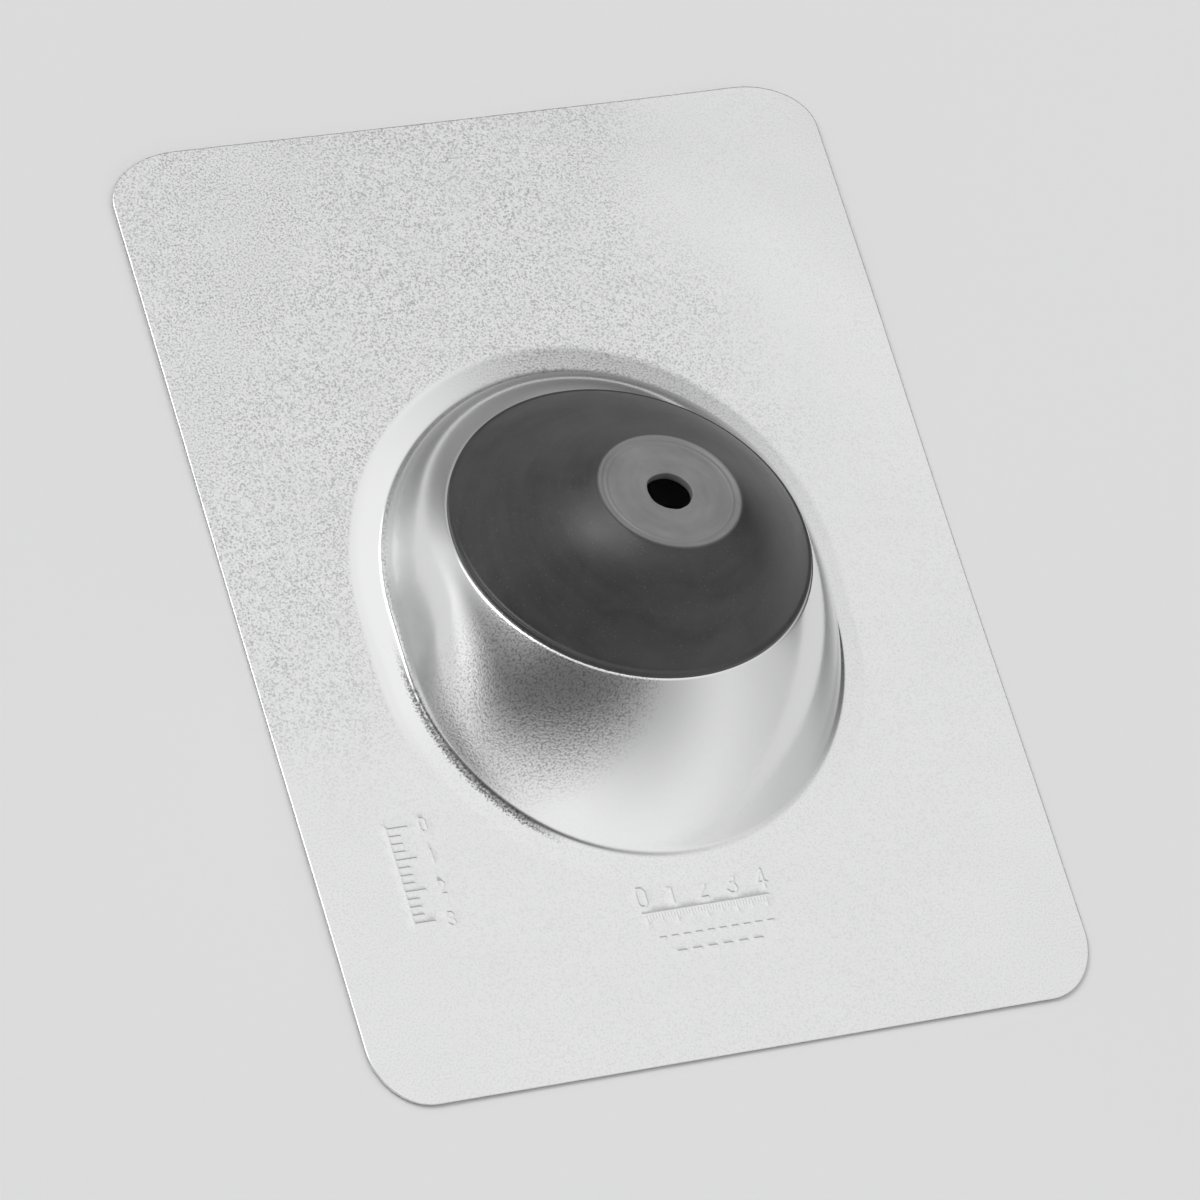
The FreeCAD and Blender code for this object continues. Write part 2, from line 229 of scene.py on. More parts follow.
def stroke(points, width=0.34, height=0.10):
    pts = np.array(points, float)
    for a, b in zip(pts[:-1], pts[1:]):
        STROKES.append((a, b, width, height))


def place(cell, x, y, size, ang=0.0, **kw):
    c, s = math.cos(ang), math.sin(ang)
    for line in DIGITS[cell]:
        pts = [(x + size * (px * c - py * s), y + size * (px * s + py * c)) for px, py in line]
        stroke(pts, **kw)


def marks():
    # under the hump: a plain rule, with a row of numerals and two rows of ticks
    x0, y0, step = -18.0, -97.0, 9.0
    for k in range(5):
        place(str(k), x0 + k * step - 1.5, y0, 3.3, width=0.42, height=0.12)
    for k in range(41):
        x = x0 + k * step / 10
        tall = 3.0 if k % 10 == 0 else (2.1 if k % 5 == 0 else 1.3)
        stroke([(x, y0 - 2.4), (x, y0 - 2.4 - tall)], width=0.30, height=0.09)
    stroke([(x0 - 1.0, y0 - 2.0), (x0 + 4 * step + 1.0, y0 - 2.0)], width=0.28, height=0.08)
    for k in range(10):
        x = x0 + 2 + k * 3.6
        stroke([(x, y0 - 9.5), (x + 1.7, y0 - 9.5)], width=0.40, height=0.10)
    for k in range(6):
        x = x0 + 6 + k * 4.6
        stroke([(x, y0 - 14.0), (x + 2.4, y0 - 14.0)], width=0.40, height=0.10)
    # left of the foot: a short ladder of ticks with numerals
    x1, y1 = -84.0, -64.0
    for k in range(13):
        wide = 6.0 if k % 4 == 0 else 3.4
        stroke([(x1, y1 - k * 2.3), (x1 + wide, y1 - k * 2.3)], width=0.34, height=0.10)
    for k in range(4):
        place(str(k), x1 + 9.6, y1 - 1.9 - k * 9.2, 2.3, width=0.34, height=0.10)
    stroke([(x1, y1 + 0.6), (x1, y1 - 12 * 2.3 - 0.6)], width=0.30, height=0.09)


marks()


def relief(x, y):
    """Height of the stamped marks over the sheet, in mm."""
    out = np.zeros_like(x)
    for a, b, w, h in STROKES:
        lo, hi = np.minimum(a, b) - 2 * w, np.maximum(a, b) + 2 * w
        k = np.nonzero((x > lo[0]) & (x < hi[0]) & (y > lo[1]) & (y < hi[1]))[0]
        if not len(k):
            continue
        p = np.stack([x[k], y[k]], -1)
        ab = b - a
        t = np.clip(((p - a) @ ab) / max(ab @ ab, 1e-9), 0, 1)
        dist = np.linalg.norm(p - (a + t[:, None] * ab), axis=1)
        out[k] = np.maximum(out[k], h * (1 - smooth(0.25 * w, 1.35 * w, dist)))
    return out


# ------------------------------------------------------------------ flashing_base: flat sheet
def outline_points():
    """Plan outline, anticlockwise, with a normal at each point."""
    w, l = SHEET_W / 2, SHEET_L / 2
    pts, nrm = [], []

    def arc(sx, sy, a, b, from_deg):
        for t in np.radians(np.linspace(from_deg, from_deg + 90, 25)):
            c, s = math.cos(t), math.sin(t)
            pts.append((sx * (w - a) + a * c, sy * (l - b) + b * s))
            n = np.array([c / a, s / b])
            nrm.append(n / np.linalg.norm(n))

    def side(p, q, n, count):
        for t in np.linspace(0, 1, count + 2)[1:-1]:
            pts.append((p[0] + (q[0] - p[0]) * t, p[1] + (q[1] - p[1]) * t))
            nrm.append(np.array(n, float))

    (a, b), (c, d) = CORNER_HIGH, CORNER_LOW
    arc(1, 1, a, b, 0)
    side((w - a, l), (-w + a, l), (0, 1), 70)
    arc(-1, 1, a, b, 90)
    side((-w, l - b), (-w, -l + d), (-1, 0), 100)
    arc(-1, -1, c, d, 180)
    side((-w + c, -l), (w - c, -l), (0, -1), 76)
    arc(1, -1, c, d, 270)
    side((w, -l + d), (w, l - b), (1, 0), 100)
    return np.array(pts), np.array(nrm)


def within(loop, pts):
    """Even-odd test of each point against a closed loop."""
    out = np.zeros(len(pts), bool)
    x, y = pts[:, 0], pts[:, 1]
    for (ax, ay), (bx, by) in zip(loop, np.roll(loop, -1, 0)):
        crosses = (ay > y) != (by > y)
        if ay != by:
            out ^= crosses & (x < ax + (y - ay) * (bx - ax) / (by - ay))
    return out


def flashing_base():
    top = hump_grid(PHI)
    nrm = grid_normals(top)
    nrm[0] = (0, 0, 1)
    nrm[-3:] = NORMAL
    under = top - nrm * SHEET_T
    inner_loop = top[0][:, :2]

    out_xy, out_n = outline_points()
    n_out = len(out_xy)
    edge0 = out_xy - out_n * 0.26

    # interior points: an even field, and a fine one where the marks are
    pts = []
    step = 3.0
    ix, iy = np.meshgrid(np.arange(-SHEET_W / 2 + 1.5, SHEET_W / 2, step), np.arange(-SHEET_L / 2 + 1.5, SHEET_L / 2, step * 0.866))
    ix = ix + (np.arange(ix.shape[0]) % 2)[:, None] * step / 2
    field = np.stack([ix.ravel(), iy.ravel()], -1)
    fine = []
    for a, b, w, h in STROKES:
        pad = 3.0 * w
        lo, hi = np.minimum(a, b) - pad, np.maximum(a, b) + pad
        s = 0.21
        gx, gy = np.meshgrid(np.arange(math.floor(lo[0] / s), math.ceil(hi[0] / s) + 1), np.arange(math.floor(lo[1] / s), math.ceil(hi[1] / s) + 1))
        p = np.stack([gx.ravel(), gy.ravel()], -1)
        q = p * s
        ab = b - a
        t = np.clip(((q - a) @ ab) / max(ab @ ab, 1e-9), 0, 1)
        dist = np.linalg.norm(q - (a + t[:, None] * ab), axis=1)
        fine.append(p[dist < 1.75 * w])
    fine = np.unique(np.concatenate(fine), axis=0)
    fine_xy = fine * 0.21
    fine_set = set(map(tuple, np.floor(fine_xy / 1.2).astype(int)))

    def keep(p, margin_hump, margin_edge):
        rel = p - np.array([0, (FOOT_Y_LOW + FOOT_Y_HIGH) / 2])
        ang = np.arctan2(rel[:, 1], rel[:, 0])
        base = inner_loop - np.array([0, (FOOT_Y_LOW + FOOT_Y_HIGH) / 2])
        ba = np.arctan2(base[:, 1], base[:, 0])
        order = np.argsort(ba)
        lim = np.interp(ang, ba[order], np.linalg.norm(base, axis=1)[order], period=2 * math.pi)
        ok = np.linalg.norm(rel, axis=1) > lim + margin_hump
        w, l = SHEET_W / 2 - margin_edge, SHEET_L / 2 - margin_edge
        ok &= (np.abs(p[:, 0]) < w) & (np.abs(p[:, 1]) < l)
        for sy, (a, b) in ((1, CORNER_HIGH), (-1, CORNER_LOW)):
            cx, cy = SHEET_W / 2 - a, SHEET_L / 2 - b
            dx, dy = np.abs(p[:, 0]) - cx, p[:, 1] * sy - cy
            inside = (dx / (a - margin_edge)) ** 2 + (dy / (b - margin_edge)) ** 2 < 1
            ok &= ~((dx > 0) & (dy > 0)) | inside
        return ok

    coarse = field[keep(field, 1.0, 1.9)]
    coarse = np.array([p for p in coarse if (math.floor(p[0] / 1.2), math.floor(p[1] / 1.2)) not in fine_set])
    fine_xy = fine_xy[keep(fine_xy, 0.3, 0.6)]
    # two rings just inside the edge keep its roll-over from shading the flat sheet
    rings = [out_xy - out_n * d for d in (0.42, 0.85)]
    all_xy = np.concatenate([edge0, inner_loop, *rings, coarse, fine_xy])
    edges = [(i, (i + 1) % n_out) for i in range(n_out)]
    edges += [(n_out + i, n_out + (i + 1) % COLS) for i in range(COLS)]
    vs, es, fs, ov, oe, of_ = delaunay_2d_cdt([Vector(p) for p in all_xy], edges, [], 0, 1e-5)
    vs = np.array([(v.x, v.y) for v in vs])
    src = {}
    for k, o in enumerate(ov):
        for i in o:
            src[i] = k
    mid = np.array([vs[list(f)].mean(0) for f in fs])
    good = within(edge0, mid) & ~within(inner_loop, mid)
    tri = [f for f, ok in zip(fs, good) if ok]
    loop_out = [src[i] for i in range(n_out)]
    loop_in = [src[n_out + i] for i in range(COLS)]

    z = relief(vs[:, 0], vs[:, 1])
    n_flat = len(vs)
    V = [np.column_stack([vs, SHEET_T + z]), np.column_stack([vs, z])]
    F = []
    for f in tri:
        a = vs[list(f)]
        area = 0
        for i in range(len(f)):
            j = (i + 1) % len(f)
            area += a[i, 0] * a[j, 1] - a[j, 0] * a[i, 1]
        f = tuple(f) if area > 0 else tuple(f)[::-1]
        F.append(f)
        F.append(tuple(i + n_flat for i in f[::-1]))
    count = 2 * n_flat

    # sheared edge: slight roll-over on top, square below
    loops = []
    for inset, zz in ((0.10, 0.765), (0.02, 0.69), (0.0, 0.60), (0.0, 0.05), (0.05, 0.0)):
        jag = 0.012 * rng.standard_normal(n_out) if 0.0 < zz < 0.65 else 0.0
        p = out_xy - out_n * (inset + np.abs(jag))[..., None] if np.ndim(jag) else out_xy - out_n * inset
        V.append(np.column_stack([p, np.full(n_out, zz)]))
        loops.append(list(range(count, count + n_out)))
        count += n_out
    chain = [loop_out] + loops + [[i + n_flat for i in loop_out]]
    for a, b in zip(chain[:-1], chain[1:]):
        for i in range(n_out):
            j = (i + 1) % n_out
            F.append((a[i], b[i], b[j], a[j]))

    # hump rows, sharing the sheet's inner loop
    rows_top, rows_under = [loop_in], [[i + n_flat for i in loop_in]]
    for grid, rows in ((top, rows_top), (under, rows_under)):
        for r in range(1, grid.shape[0]):
            V.append(grid[r])
            rows.append(list(range(count, count + COLS)))
            count += COLS
    # the flange's free edge, rounded a little
    lip = []
    for r, dz in ((47.72, -0.72), (47.61, -0.85), (47.6, -1.1), (47.61, -1.36), (47.74, -1.49)):
        V.append(mouth_points(PHI, r, dz))
        lip.append(list(range(count, count + COLS)))
        count += COLS
    chain = rows_top + lip + rows_under[::-1]
    for a, b in zip(chain[:-1], chain[1:]):
        for i in range(COLS):
            j = (i + 1) % COLS
            F.append((a[i], a[j], b[j], b[i]))
    V = np.concatenate(V)
    V[:, 2] += warp(V[:, 0], V[:, 1])
    return new_mesh("flashing_sheet", V, F)


# ------------------------------------------------------------------ rubber_collar
def dome_profile(r0, z0, r1, z1, deg0, deg1, count):
    b, g = math.radians(deg0), math.radians(deg1)
    d, h = r0 - r1, z1 - z0
    det = math.cos(b) * math.sin(g) - math.cos(g) * math.sin(b)
    up = (d * math.sin(g) - h * math.cos(g)) / det
    kr, kz = r0 - up * math.cos(b), z0 + up * math.sin(b)
    t = np.linspace(0, 1, count)
    return quad(r0, kr, r1, t), quad(z0, kz, z1, t)


def shift_at(z, z0, z1):
    t = np.clip((z - z0) / (z1 - z0), 0, 1)
    return DOME_SHIFT * (0.65 * t + 0.35 * t * t * (3 - 2 * t))


def rubber_collar():
    n = 384
    phi = np.arange(n) * 2 * math.pi / n
    seat, top = SEAT_DZ, SEAT_DZ + LIP_H
    k = LIP_ROUND
    sec = []  # (radius, height, shift)
    for z in (seat, seat + 0.3, seat + 0.6, top - k):
        sec.append((COLLAR_R - 0.02, z, 0.0))
    for a in np.radians((15, 30, 45, 60, 75, 90)):
        sec.append((COLLAR_R - 0.02 - k * (1 - math.cos(a)), top - k + k * math.sin(a), 0.0))
    r0 = COLLAR_R - 0.02 - k - LEDGE
    r, z = dome_profile(r0, top, RING_R, DOME_H, DOME_EDGE_DEG, DOME_TOP_DEG, 46)
    s = shift_at(z, top, DOME_H)
    sec.append((r0 + 0.1, top - 0.01, 0.0))
    sec += [(a, b, c) for a, b, c in zip(r, z, s)][1:-1]
    S = DOME_SHIFT
    # raised ring with soft shoulders, and a second, finer line just inside it
    for dr, dz in ((0.22, -0.09), (0.1, 0.02), (0.02, 0.2), (-0.06, 0.38), (-0.2, 0.47), (-0.5, 0.495), (-0.85, 0.42), (-1.15, 0.2),
                   (-1.4, 0.06), (-1.75, 0.03), (-2.0, 0.10), (-2.15, 0.24), (-2.35, 0.27), (-2.55, 0.2), (-2.75, 0.07), (-3.1, 0.05)):
        sec.append((RING_R + dr, DOME_H + dz, S))
    disc = lambda r: DOME_H + 0.05 + (DISC_CONE - 0.05) * (18.3 - r) / (18.3 - HOLE_R * 0.5)
    for r in (16.2, 15.2, 14.0, 12.6, 11.2, 9.8, 8.6, 7.7, 7.1, 6.7):
        sec.append((r, disc(r), S))
    sec += [(6.45, disc(6.4) - 0.03, S), (6.3, disc(6.3) - 0.12, S), (6.26, disc(6.3) - 0.35, S)]
    under = DOME_H - DISC_T
    sec += [(6.26, under + 0.9, S), (6.26, under + 0.25, S), (6.34, under + 0.06, S)]
    n_hole = len(sec)
    ins = RING_R - 1.2
    for r in (9.0, 13.0, 17.0):
        sec.append((r, under - 0.3 + 0.3 * (ins - r) / (ins - HOLE_R * 0.5), S))
    r, z = dome_profile(INNER_R, top - 0.4, ins, under - 0.3, 52.0, 27.0, 22)
    s = shift_at(z, top, DOME_H)
    sec += [(a, b, c) for a, b, c in zip(r, z, s)][::-1]
    low = seat - SHEET_T - UNDER_LIP_H
    sec += [(INNER_R, low + 0.25, 0.0), (INNER_R + 0.2, low + 0.04, 0), (INNER_R + 0.5, low, 0), (UNDER_LIP_R - 0.5, low, 0), (UNDER_LIP_R - 0.12, low + 0.14, 0),
            (UNDER_LIP_R, low + 0.5, 0), (UNDER_LIP_R, seat - SHEET_T - 0.05, 0), (UNDER_LIP_R - 0.05, seat - SHEET_T, 0), (GROOVE_R, seat - SHEET_T, 0), (GROOVE_R, seat, 0), (COLLAR_R - 0.3, seat, 0)]
    V, F = [], []
    for i, (r, z, s) in enumerate(sec):
        rr = np.full(n, float(r))
        zz = np.full(n, float(z))
        if 6.2 < r < 8.0 and DOME_H - 3 < z:  # the pilot hole is cut a little unevenly
            fade = 1 - smooth(6.3, 8.0, r)
            rr = rr + fade * (0.10 * np.maximum(0, np.sin(3 * phi + 0.6)) + 0.07 * np.sin(5 * phi + 2.1) + 0.03 * np.sin(11 * phi))
            rr = np.maximum(rr, 6.2)
        p = MOUTH + zz[:, None] * NORMAL + s * UPSLOPE + (rr * np.cos(phi))[:, None] * ACROSS + (rr * np.sin(phi))[:, None] * UPSLOPE
        V.append(p)
    m = len(sec)
    for a in range(m):
        b = (a + 1) % m
        for i in range(n):
            j = (i + 1) % n
            F.append((a * n + i, a * n + j, b * n + j, b * n + i))
    return new_mesh("rubber_dome", np.concatenate(V), F)


# ------------------------------------------------------------------ materials
class Nodes:
    def __init__(self, name):
        self.mat = bpy.data.materials.new(name)
        self.mat.use_nodes = True
        self.t = self.mat.node_tree
        self.t.nodes.clear()
        self.out = self.t.nodes.new("ShaderNodeOutputMaterial")
        self.bsdf = self.t.nodes.new("ShaderNodeBsdfPrincipled")
        self.t.links.new(self.bsdf.outputs[0], self.out.inputs[0])
        self.coord = self.t.nodes.new("ShaderNodeTexCoord").outputs["Object"]

    def link(self, a, b):
        self.t.links.new(a, b)

    def node(self, kind, **props):
        n = self.t.nodes.new(kind)
        for k, v in props.items():
            setattr(n, k, v)
        return n

    def noise(self, scale, detail=2.0, rough=0.5, vector=None, distortion=0.0):
        n = self.node("ShaderNodeTexNoise")
        n.inputs["Scale"].default_value = scale
        n.inputs["Detail"].default_value = detail
        n.inputs["Roughness"].default_value = rough
        n.inputs["Distortion"].default_value = distortion
        self.link(vector if vector is not None else self.coord, n.inputs["Vector"])
        return n.outputs["Fac"]

    def stretch(self, sx, sy, sz, rot=(0, 0, 0)):
        m = self.node("ShaderNodeMapping")
        m.inputs["Scale"].default_value = (sx, sy, sz)
        m.inputs["Rotation"].default_value = rot
        self.link(self.coord, m.inputs["Vector"])
        return m.outputs[0]

    def math(self, op, a, b=None, clamp=False):
        n = self.node("ShaderNodeMath", operation=op, use_clamp=clamp)
        for i, v in enumerate((a, b)):
            if v is None:
                continue
            if isinstance(v, (int, float)):
                n.inputs[i].default_value = v
            else:
                self.link(v, n.inputs[i])
        return n.outputs[0]

    def remap(self, v, a, b, c, d):
        n = self.node("ShaderNodeMapRange")
        for k, x in zip(("From Min", "From Max", "To Min", "To Max"), (a, b, c, d)):
            n.inputs[k].default_value = x
        self.link(v, n.inputs["Value"])
        return n.outputs[0]

    def soft(self, v, a, b):
        """0 at a, 1 at b, smooth between, in either order."""
        n = self.node("ShaderNodeMapRange", interpolation_type="SMOOTHSTEP")
        lo, hi, p, q = (a, b, 0.0, 1.0) if a < b else (b, a, 1.0, 0.0)
        for k, x in zip(("From Min", "From Max", "To Min", "To Max"), (lo, hi, p, q)):
            n.inputs[k].default_value = x
        self.link(v, n.inputs["Value"])
        return n.outputs[0]

    def mix(self, f, a, b):
        n = self.node("ShaderNodeMix", data_type="RGBA")
        self.link(f, n.inputs["Factor"])
        for name, v in (("A", a), ("B", b)):
            s = [i for i in n.inputs if i.name == name and i.type == "RGBA"][0]
            if isinstance(v, tuple):
                s.default_value = (*v, 1.0)
            else:
                self.link(v, s)
        return [o for o in n.outputs if o.type == "RGBA"][0]

    def bump(self, height, distance, strength=1.0, normal=None):
        n = self.node("ShaderNodeBump")
        n.inputs["Strength"].default_value = strength
        n.inputs["Distance"].default_value = distance
        self.link(height, n.inputs["Height"])
        if normal is not None:
            self.link(normal, n.inputs["Normal"])
        return n.outputs[0]


PEEL, SPECKLE, HUMP_GRAIN, STRETCH_GRAIN = 0.000055, 0.62, 0.05, 0.95


def foot_distance(m, x, y):
    """Plan distance out from the hump's foot, in metres."""
    yc = m.math("MINIMUM", m.math("MAXIMUM", y, FOOT_Y_LOW * MM), FOOT_Y_HIGH * MM)
    dy = m.math("SUBTRACT", y, yc)
    r = m.math("SQRT", m.math("ADD", m.math("MULTIPLY", x, x), m.math("MULTIPLY", dy, dy)))
    return m.math("SUBTRACT", r, FOOT_R * MM)


def aluminium():
    """Mill-finish sheet: orange-peel grain, faint rolling lines, a burnished band outside the drawn foot with a
    painted highlight on its left and upper part.
    """
    m = Nodes("aluminium_mill_finish")
    b = m.bsdf
    b.inputs["Metallic"].default_value = 1.0
    sep = m.node("ShaderNodeSeparateXYZ")
    m.link(m.coord, sep.inputs[0])
    x, y = sep.outputs[0], sep.outputs[1]
    e = foot_distance(m, x, y)

    # where the die pressed the metal smooth, on the left and upper part of the band; this part also gets a painted
    # highlight in its colour
    band = m.math("MULTIPLY", m.soft(e, 0.0, 0.0010), m.soft(e, 0.0098, 0.0082))
    drift = m.math("MULTIPLY", m.noise(40, 2, 0.5), 0.02)
    left = m.soft(m.math("ADD", x, drift), 0.008, -0.022)
    upper = m.soft(y, -0.052, -0.026)
    burnish_and_painted_highlight = m.math("MULTIPLY", band, m.math("MULTIPLY", left, upper))
    on_hump = m.soft(e, 0.0, -0.0012)

    # where the grain stands up: the up-slope left of the sheet, and the drawn hump
    wander = m.math("MULTIPLY", m.math("SUBTRACT", m.noise(22, 3, 0.6), 0.5), 0.10)
    gx = m.soft(m.math("ADD", x, wander), 0.085, 0.010)
    gy = m.soft(m.math("ADD", y, wander), -0.060, 0.004)
    coarse = m.math("MULTIPLY", gx, gy)
    patchy = m.remap(m.noise(70, 3, 0.55), 0.35, 0.65, 0.72, 1.15)
    grain = m.math("ADD", m.math("MULTIPLY", m.math("MULTIPLY", coarse, patchy), 0.80), 0.20)
    # on the hump it is strongest where the metal was stretched, on the down-slope left of the flank
    gap = m.math("SQRT", m.math("ADD", m.math("POWER", m.math("ADD", x, 0.036), 2.0), m.math("POWER", m.math("ADD", y, 0.038), 2.0)))
    stretched = m.soft(m.math("ADD", gap, m.math("MULTIPLY", wander, 0.06)), 0.031, 0.019)
    drawn = m.math("ADD", HUMP_GRAIN, m.math("MULTIPLY", stretched, STRETCH_GRAIN))
    grain = m.math("ADD", m.math("MULTIPLY", grain, m.math("SUBTRACT", 1.0, on_hump)), m.math("MULTIPLY", on_hump, drawn))
    grain = m.math("MULTIPLY", grain, m.math("SUBTRACT", 1.0, m.math("MULTIPLY", burnish_and_painted_highlight, 0.93)))

    peel = m.noise(1650, 1.2, 0.5)
    fine = m.noise(3300, 1.0, 0.5)
    height = m.math("ADD", m.math("MULTIPLY", peel, 0.8), m.math("MULTIPLY", fine, 0.2))
    height = m.math("MULTIPLY", m.math("SUBTRACT", height, 0.5), grain)
    lines = m.noise(1, 3, 0.6, vector=m.stretch(8, 900, 40))
    height2 = m.math("SUBTRACT", lines, 0.5)
    n1 = m.bump(height, PEEL, 1.0)
    n2 = m.bump(height2, 0.0000012, 1.0, n1)
    m.link(n2, b.inputs["Normal"])

    blotch = m.noise(34, 5, 0.62)
    streak = m.noise(1, 4, 0.6, vector=m.stretch(10, 120, 30))
    tone = m.math("ADD", m.math("MULTIPLY", blotch, 0.65), m.math("MULTIPLY", streak, 0.35))
    tone = m.remap(tone, 0.35, 0.65, 0.0, 1.0)
    flat = m.math("SUBTRACT", 1.0, on_hump)
    dull = m.mix(tone, (0.845, 0.848, 0.850), (0.885, 0.887, 0.889))
    clean = m.mix(tone, (0.895, 0.897, 0.899), (0.912, 0.914, 0.916))
    body = m.mix(m.math("MULTIPLY", coarse, flat), clean, dull)
    body = m.mix(on_hump, body, (0.90, 0.902, 0.904))
    # painted shade in the grain's pits and painted glints on its tops: darker where the peel is low, white where it is
    # high
    painted_pit_shade = m.math("MULTIPLY", m.remap(peel, 0.50, 0.32, 0.0, SPECKLE), grain, clamp=True)
    painted_top_glint = m.math("MULTIPLY", m.remap(peel, 0.50, 0.68, 0.0, SPECKLE), grain, clamp=True)
    body = m.mix(painted_pit_shade, body, (0.34, 0.34, 0.34))
    body = m.mix(painted_top_glint, body, (1.0, 1.0, 1.0))
    # painted highlight: the smooth band's colour is lifted on its left and upper part
    body = m.mix(burnish_and_painted_highlight, body, (0.955, 0.957, 0.959))

    # painted shade: a dark, mottled strip along the foot's outer edge on the low left, in the crease
    around = m.soft(m.math("ADD", m.math("MULTIPLY", x, 0.90), m.math("MULTIPLY", y, 0.44)), -0.063, -0.0705)
    strip_in = m.soft(e, -0.0006, 0.0001)
    strip_out = m.soft(m.math("ADD", e, m.math("MULTIPLY", m.math("SUBTRACT", peel, 0.5), 0.0030)), 0.0026, 0.0010)
    painted_crease_shade = m.math("MULTIPLY", around, m.math("MULTIPLY", strip_in, strip_out))
    body = m.mix(m.math("MULTIPLY", painted_crease_shade, m.remap(peel, 0.36, 0.66, 1.0, 0.55), clamp=True), body, (0.14, 0.14, 0.14))
    m.link(body, b.inputs["Base Color"])

    rough = m.remap(tone, 0.0, 1.0, 0.155, 0.125)
    # the strip of painted crease shade is also made rougher
    rough = m.math("ADD", rough, m.math("MULTIPLY", painted_crease_shade, 0.20))
    rough = m.math("ADD", rough, m.math("MULTIPLY", coarse, 0.03))
    rough = m.math("SUBTRACT", rough, m.math("MULTIPLY", burnish_and_painted_highlight, 0.04))
    m.link(rough, b.inputs["Roughness"])
    return m.mat


def elastomer():
    """Moulded rubber: faint turned rings from the mould, a dusty pipe disc, specks of mould dust."""
    m = Nodes("moulded_elastomer")
    b = m.bsdf
    b.inputs["Metallic"].default_value = 0.0
    b.inputs["Specular IOR Level"].default_value = 0.48
    centre = (MOUTH + DOME_H * NORMAL + DOME_SHIFT * UPSLOPE) * MM
    rel = m.node("ShaderNodeVectorMath", operation="SUBTRACT")
    m.link(m.coord, rel.inputs[0])
    rel.inputs[1].default_value = tuple(centre)

    def along(v):
        n = m.node("ShaderNodeVectorMath", operation="DOT_PRODUCT")
        m.link(rel.outputs[0], n.inputs[0])
        n.inputs[1].default_value = tuple(v)
        return n.outputs["Value"]

    a, u, h = along(ACROSS), along(UPSLOPE), along(NORMAL)
    r = m.math("SQRT", m.math("ADD", m.math("MULTIPLY", a, a), m.math("MULTIPLY", u, u)))
    ang = m.math("ARCTAN2", u, a)
    on_disc = m.soft(r, 0.0203, 0.0193)

    # turned rings: noise along the radius, slowly changing round the axis
    polar = m.node("ShaderNodeCombineXYZ")
    m.link(m.math("MULTIPLY", r, 1500.0), polar.inputs[0])
    m.link(m.math("MULTIPLY", m.math("SINE", ang), 0.6), polar.inputs[1])
    m.link(m.math("MULTIPLY", m.math("COSINE", ang), 0.6), polar.inputs[2])
    rings = m.noise(1.0, 2, 0.6, vector=polar.outputs[0])
    wide = m.node("ShaderNodeCombineXYZ")
    m.link(m.math("MULTIPLY", r, 260.0), wide.inputs[0])
    m.link(m.math("MULTIPLY", m.math("SINE", ang), 0.9), wide.inputs[1])
    m.link(m.math("MULTIPLY", m.math("COSINE", ang), 0.9), wide.inputs[2])
    bands = m.noise(1.0, 3, 0.6, vector=wide.outputs[0])

    smear = m.noise(75, 4, 0.62, distortion=0.6)
    base = m.mix(m.remap(bands, 0.32, 0.68, 0.0, 1.0), (0.030, 0.030, 0.031), (0.046, 0.046, 0.047))
    base = m.mix(m.remap(smear, 0.45, 0.75, 0.0, 0.30), base, (0.075, 0.075, 0.076))

    # bloom: a dry grey film, patchy over the wall and thicker on the pipe disc
    base = m.mix(m.remap(m.noise(38, 4, 0.6, distortion=0.8), 0.48, 0.72, 0.0, 0.28), base, (0.085, 0.085, 0.086))
    disc = m.mix(m.remap(bands, 0.3, 0.7, 0.0, 1.0), (0.205, 0.205, 0.206), (0.265, 0.265, 0.266))
    disc = m.mix(m.remap(smear, 0.45, 0.75, 0.0, 0.35), disc, (0.310, 0.310, 0.311))
    base = m.mix(on_disc, base, disc)
    specks = m.soft(m.noise(1900, 0, 0.5), 0.745, 0.785)
    base = m.mix(m.math("MULTIPLY", specks, 0.20), base, (0.20, 0.20, 0.20))
    m.link(base, b.inputs["Base Color"])

    rough = m.remap(smear, 0.3, 0.7, 0.33, 0.43)
    rough = m.math("ADD", rough, m.math("MULTIPLY", m.math("SUBTRACT", bands, 0.5), 0.12))
    m.link(rough, b.inputs["Roughness"])
    # the tool marks run round the pipe axis, and the gloss follows them
    b.inputs["Anisotropic"].default_value = 0.55
    spin = m.node("ShaderNodeVectorMath", operation="CROSS_PRODUCT")
    spin.inputs[0].default_value = tuple(NORMAL)
    m.link(rel.outputs[0], spin.inputs[1])
    m.link(spin.outputs[0], b.inputs["Tangent"])
    n1 = m.bump(rings, 0.0000065, 1.0)
    n2 = m.bump(m.noise(1700, 2, 0.55), 0.000007, 1.0, n1)
    m.link(n2, b.inputs["Normal"])
    return m.mat


# ------------------------------------------------------------------ build
metal, rubber = aluminium(), elastomer()
sheet = flashing_base()
sheet.data.materials.append(metal)
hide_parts("flashing_base")
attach(sheet, "root")
dome = rubber_collar()
dome.data.materials.append(rubber)
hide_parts("rubber_collar")
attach(dome, "root")


# ------------------------------------------------------------------ studio
def floor():
    s = 6.0
    ob = new_mesh("floor", np.array([(-s, -s, -0.0003), (s, -s, -0.0003), (s, s, -0.0003), (-s, s, -0.0003)]) * 1000, [(0, 1, 2, 3)], False)
    m = Nodes("pale_floor")
    b = m.bsdf
    b.inputs["Base Color"].default_value = (0.88, 0.88, 0.88, 1)
    b.inputs["Roughness"].default_value = 0.9
    b.inputs["Specular IOR Level"].default_value = 0.1
    ob.data.materials.append(m.mat)


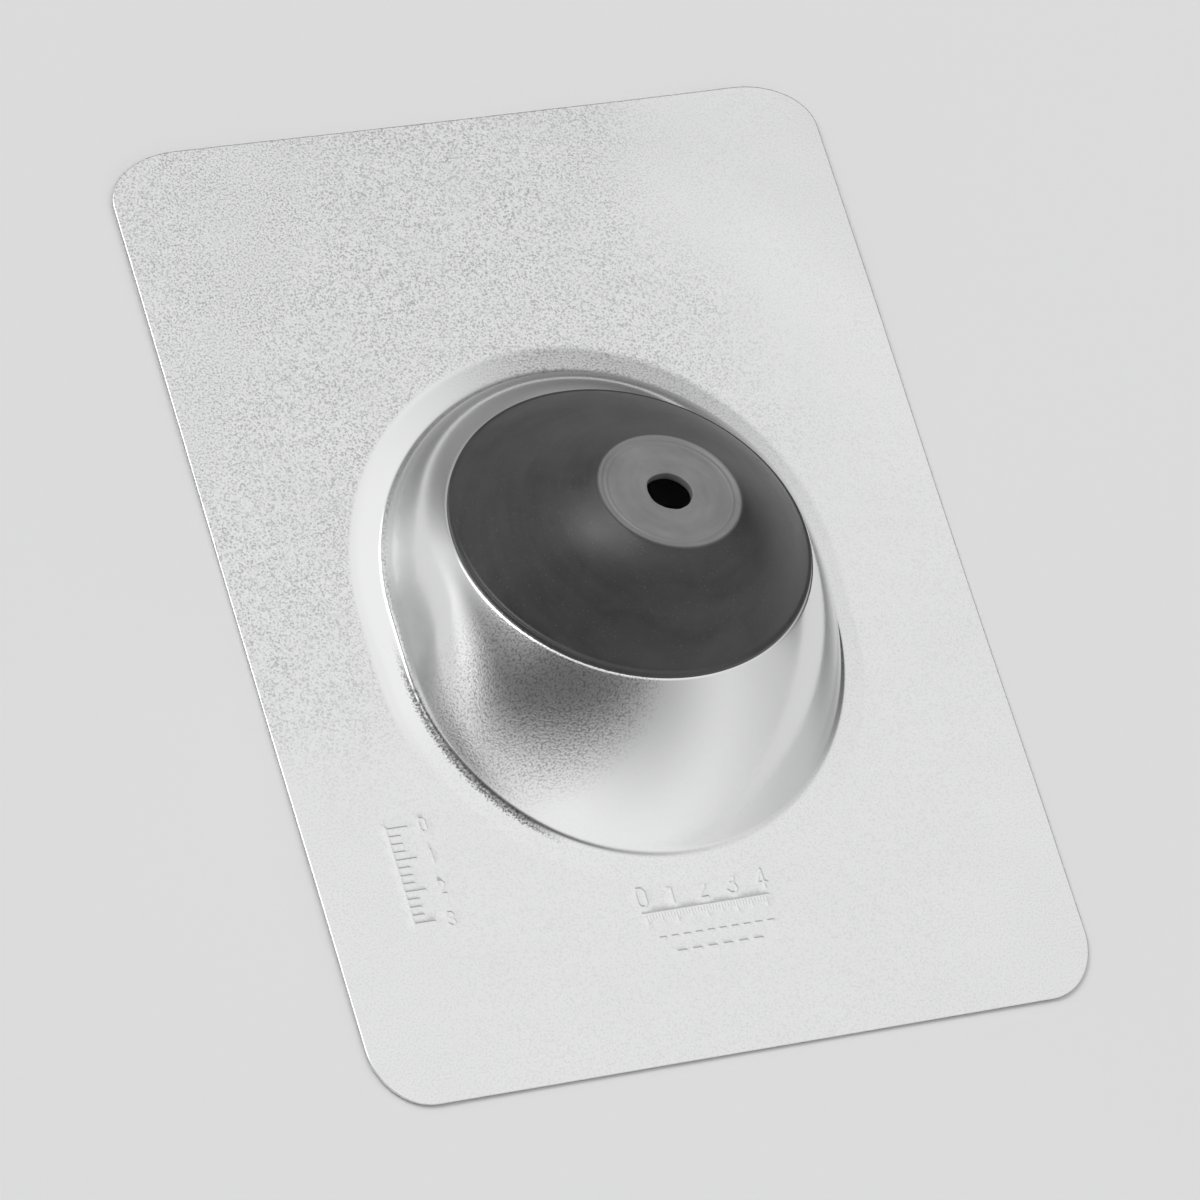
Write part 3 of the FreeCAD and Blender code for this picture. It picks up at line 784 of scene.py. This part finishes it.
def studio_world():
    """A white light tent with softly edged darker openings and one brighter panel, high on the left."""
    world = bpy.data.worlds.new("studio")
    world.use_nodes = True
    t = world.node_tree
    t.nodes.clear()
    out = t.nodes.new("ShaderNodeOutputWorld")
    bg = t.nodes.new("ShaderNodeBackground")
    bg.inputs["Color"].default_value = (1, 1, 1, 1)
    t.links.new(bg.outputs[0], out.inputs[0])
    ray = t.nodes.new("ShaderNodeTexCoord").outputs["Generated"]
    unit = t.nodes.new("ShaderNodeVectorMath")
    unit.operation = "NORMALIZE"
    t.links.new(ray, unit.inputs[0])

    def m(op, a, b):
        n = t.nodes.new("ShaderNodeMath")
        n.operation = op
        for i, v in enumerate((a, b)):
            if isinstance(v, (int, float)):
                n.inputs[i].default_value = v
            elif v is not None:
                t.links.new(v, n.inputs[i])
        return n.outputs[0]

    sep = t.nodes.new("ShaderNodeSeparateXYZ")
    t.links.new(unit.outputs[0], sep.inputs[0])
    total = m("ADD", m("MULTIPLY", sep.outputs[2], TENT_RISE), TENT_BASE)
    for az, el, inner, outer, amount in TENT:
        a, e = math.radians(az), math.radians(el)
        dot = t.nodes.new("ShaderNodeVectorMath")
        dot.operation = "DOT_PRODUCT"
        t.links.new(unit.outputs[0], dot.inputs[0])
        dot.inputs[1].default_value = (math.sin(a) * math.cos(e), math.cos(a) * math.cos(e), math.sin(e))
        away = m("ARCCOSINE", m("MINIMUM", dot.outputs["Value"], 1.0), None)
        n = t.nodes.new("ShaderNodeMapRange")
        n.interpolation_type = "SMOOTHSTEP"
        n.inputs["From Min"].default_value = math.radians(inner)
        n.inputs["From Max"].default_value = math.radians(outer)
        n.inputs["To Min"].default_value = amount
        n.inputs["To Max"].default_value = 0.0
        t.links.new(away, n.inputs["Value"])
        total = m("ADD", total, n.outputs[0])
    t.links.new(m("MAXIMUM", total, 0.02), bg.inputs["Strength"])
    bpy.context.scene.world = world


TENT_BASE, TENT_RISE = 0.922, -0.073
# (azimuth from +Y towards +X, elevation, inner and outer radius in degrees, brightness added)
TENT = [
    (177.8, 41.2, 0.0, 42.1, -0.456),
    (222.3, 41.6, 13.7, 40.3, -0.388),
    (242.3, 31.1, 14.0, 41.2, -0.340),
    (16.2, -11.6, 23.6, 74.4, -0.510),
    (79.5, -14.7, 19.1, 105.5, -0.364),
    (333.1, 19.2, 4.4, 40.1, -0.285),
    (278.8, -10.6, 15.5, 32.1, 0.367),
    (248.4, 11.9, 0.0, 26.7, -0.327),
    (37.2, 41.7, 2.6, 18.2, -0.251),
    (282.2, 20.0, 0.0, 36.0, -0.560),
    (51.0, 58.0, 12.0, 34.0, 0.07),
    (311.0, 49.0, 3.0, 23.0, 5.2),
    (75.0, 10.0, 8.0, 34.0, -0.42),
]
floor()
studio_world()

bpy.context.scene.view_settings.view_transform = "Standard"
bpy.context.scene.view_settings.look = "None"
